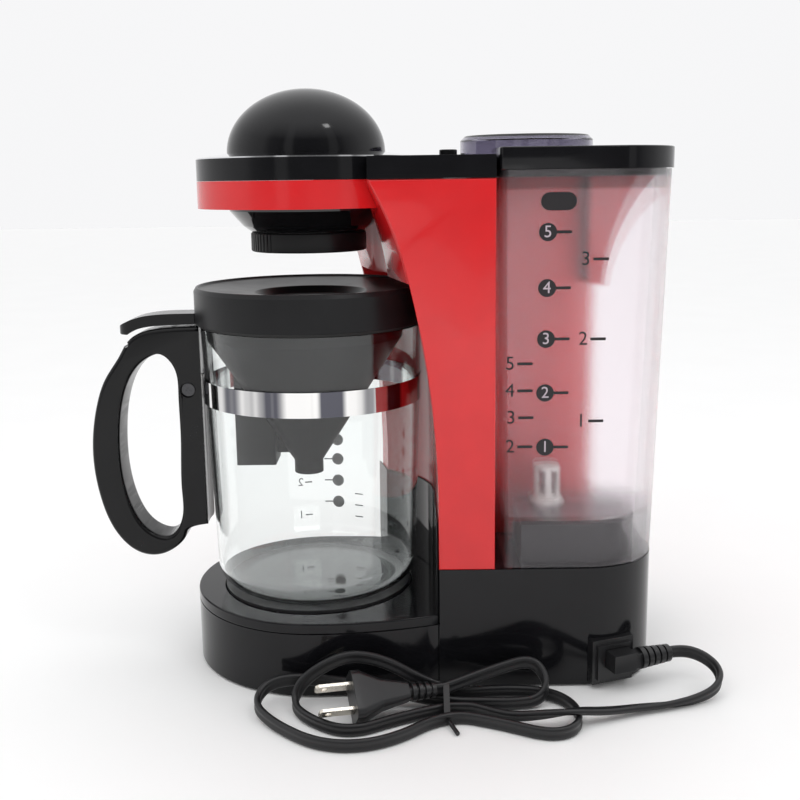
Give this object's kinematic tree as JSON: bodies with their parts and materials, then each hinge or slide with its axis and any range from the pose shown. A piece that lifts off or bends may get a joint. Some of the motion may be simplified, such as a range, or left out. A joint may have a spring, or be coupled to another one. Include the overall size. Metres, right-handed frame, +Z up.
{
  "type": "drip coffee maker",
  "caption": "Drip coffee maker with a built-in mill, a glass carafe on a warming plate, a lift-off water tank and a tied flat mains cord",
  "frame": {"origin": "middle of the appliance's footprint, cord left out, on the surface it stands on", "axes": "+Z up, +X from the carafe's handle to the water tank, +Y from the rear to the user's side"},
  "size_m": [0.3346, 0.2219, 0.3093],
  "materials": {
    "black_gloss": "polished black moulding",
    "red_gloss": "polished red moulding",
    "black_satin": "fine satin moulding",
    "chrome_trim": "bright plated trim",
    "smoke_clear": "clear smoky moulding",
    "frosted_tank": "frosted clear moulding",
    "carafe_glass": "clear heat-proof glass",
    "band_steel": "polished band",
    "steel": "plain steel",
    "plated_brass": "nickel plated contacts",
    "hot_plate": "non-stick coating on aluminium",
    "heater_metal": "plain cast metal",
    "motor_metal": "plain motor can",
    "white_plastic": "plain moulding",
    "under_plastic": "plain black moulding",
    "silicone": "milky silicone",
    "foot_rubber": "soft dark rubber",
    "board": "coated circuit board",
    "lamp": "clear red lens",
    "cord_jacket": "flat twin cord's soft jacket"
  },
  "bodies": {
    "base": {"base_shell": "black_gloss", "base_cover": "black_gloss", "bottom_plate": "under_plastic", "rubber_feet": "foot_rubber", "bottom_screws": "steel", "column_shell": "red_gloss", "rear_panel": "red_gloss", "bay_liner": "black_gloss", "motor_bracket": "steel", "head_band": "red_gloss", "top_deck": "black_gloss", "chrome_ring": "chrome_trim", "shower_bowl": "black_satin", "shower_plate": "steel", "mill_cup": "steel", "mill_gasket": "silicone", "mill_motor": "motor_metal", "warming_plate": "hot_plate", "heater_tube": "heater_metal", "heater_hose": "silicone", "thermostat": "heater_metal", "thermal_fuse": "white_plastic", "cold_hose": "silicone", "check_valve": "white_plastic", "riser_hose": "silicone", "tank_seat": "under_plastic", "control_panel": "black_satin", "rotary_switch": "white_plastic", "lamp_lens": "lamp", "circuit_board": "board", "inlet_socket": "black_satin", "inlet_pins": "plated_brass", "cord_connector": "cord_jacket", "cord_lead": "cord_jacket", "cord_hank": "cord_jacket", "cord_tie": "cord_jacket", "mains_plug": "cord_jacket", "plug_blades": "plated_brass"},
    "carafe": {"carafe_glass": "carafe_glass", "carafe_band": "band_steel", "carafe_handle": "black_satin", "handle_screw": "steel"},
    "lid": {"carafe_lid": "black_satin", "lid_seal": "silicone", "dripper": "black_satin", "thumb_tab": "black_satin"},
    "dome": {"dome_lid": "black_satin"},
    "grip": {"grip_ring": "black_satin"},
    "cover": {"mill_cover": "smoke_clear"},
    "blade": {"mill_shaft": "steel", "mill_blade": "steel"},
    "tank": {"tank_body": "frosted_tank", "valve_body": "white_plastic"},
    "cap": {"tank_lid": "black_satin"},
    "stem": {"valve_stem": "white_plastic", "valve_spring": "steel"},
    "mill_switch": {"mill_button": "black_satin"},
    "interlock": {"interlock_pin": "steel"},
    "knob": {"mode_knob": "black_satin"},
    "start": {"start_button": "black_satin"}
  },
  "joints": [
    {"name": "carafe_slide", "type": "slide", "parent": "base", "child": "carafe", "axis": [-1, 0, 0], "range_m": [0, 0.15]},
    {"name": "lid_lift", "type": "slide", "parent": "carafe", "child": "lid", "axis": [0, 0, 1], "range_m": [0, 0.003]},
    {"name": "dome_lift", "type": "slide", "parent": "base", "child": "dome", "axis": [0, 0, 1], "range_m": [0, 0.06]},
    {"name": "grip_turn", "type": "hinge", "parent": "base", "child": "grip", "pos_m": [-0.0334, -0.0126, 0.23], "axis": [0, 0, 1], "range_deg": [-30, 30]},
    {"name": "cover_lift", "type": "slide", "parent": "base", "child": "cover", "axis": [0, 0, 1], "range_m": [0, 0.06]},
    {"name": "blade_spin", "type": "hinge", "parent": "base", "child": "blade", "pos_m": [0.087, 0.0305, 0.233], "axis": [0, 0, 1], "continuous": true},
    {"name": "tank_lift", "type": "slide", "parent": "base", "child": "tank", "axis": [0, 0, 1], "range_m": [0, 0.12]},
    {"name": "cap_lift", "type": "slide", "parent": "tank", "child": "cap", "axis": [0, 0, 1], "range_m": [0, 0.05]},
    {"name": "valve_slide", "type": "slide", "parent": "tank", "child": "stem", "axis": [0, 0, 1], "range_m": [0, 0.002], "stiffness_N_per_m": 400, "deforming": ["valve_spring"]},
    {"name": "mill_press", "type": "slide", "parent": "base", "child": "mill_switch", "axis": [0, 0, -1], "range_m": [0, 0.0025], "stiffness_N_per_m": 600},
    {"name": "interlock_press", "type": "slide", "parent": "base", "child": "interlock", "axis": [0, 0, -1], "range_m": [0, 0.002], "stiffness_N_per_m": 400},
    {"name": "knob_turn", "type": "hinge", "parent": "base", "child": "knob", "pos_m": [0.097, 0.076, 0.034], "axis": [0, 1, 0], "range_deg": [0, 90]},
    {"name": "start_press", "type": "slide", "parent": "base", "child": "start", "axis": [0, -1, 0], "range_m": [0, 0.0015], "stiffness_N_per_m": 800}
  ]
}
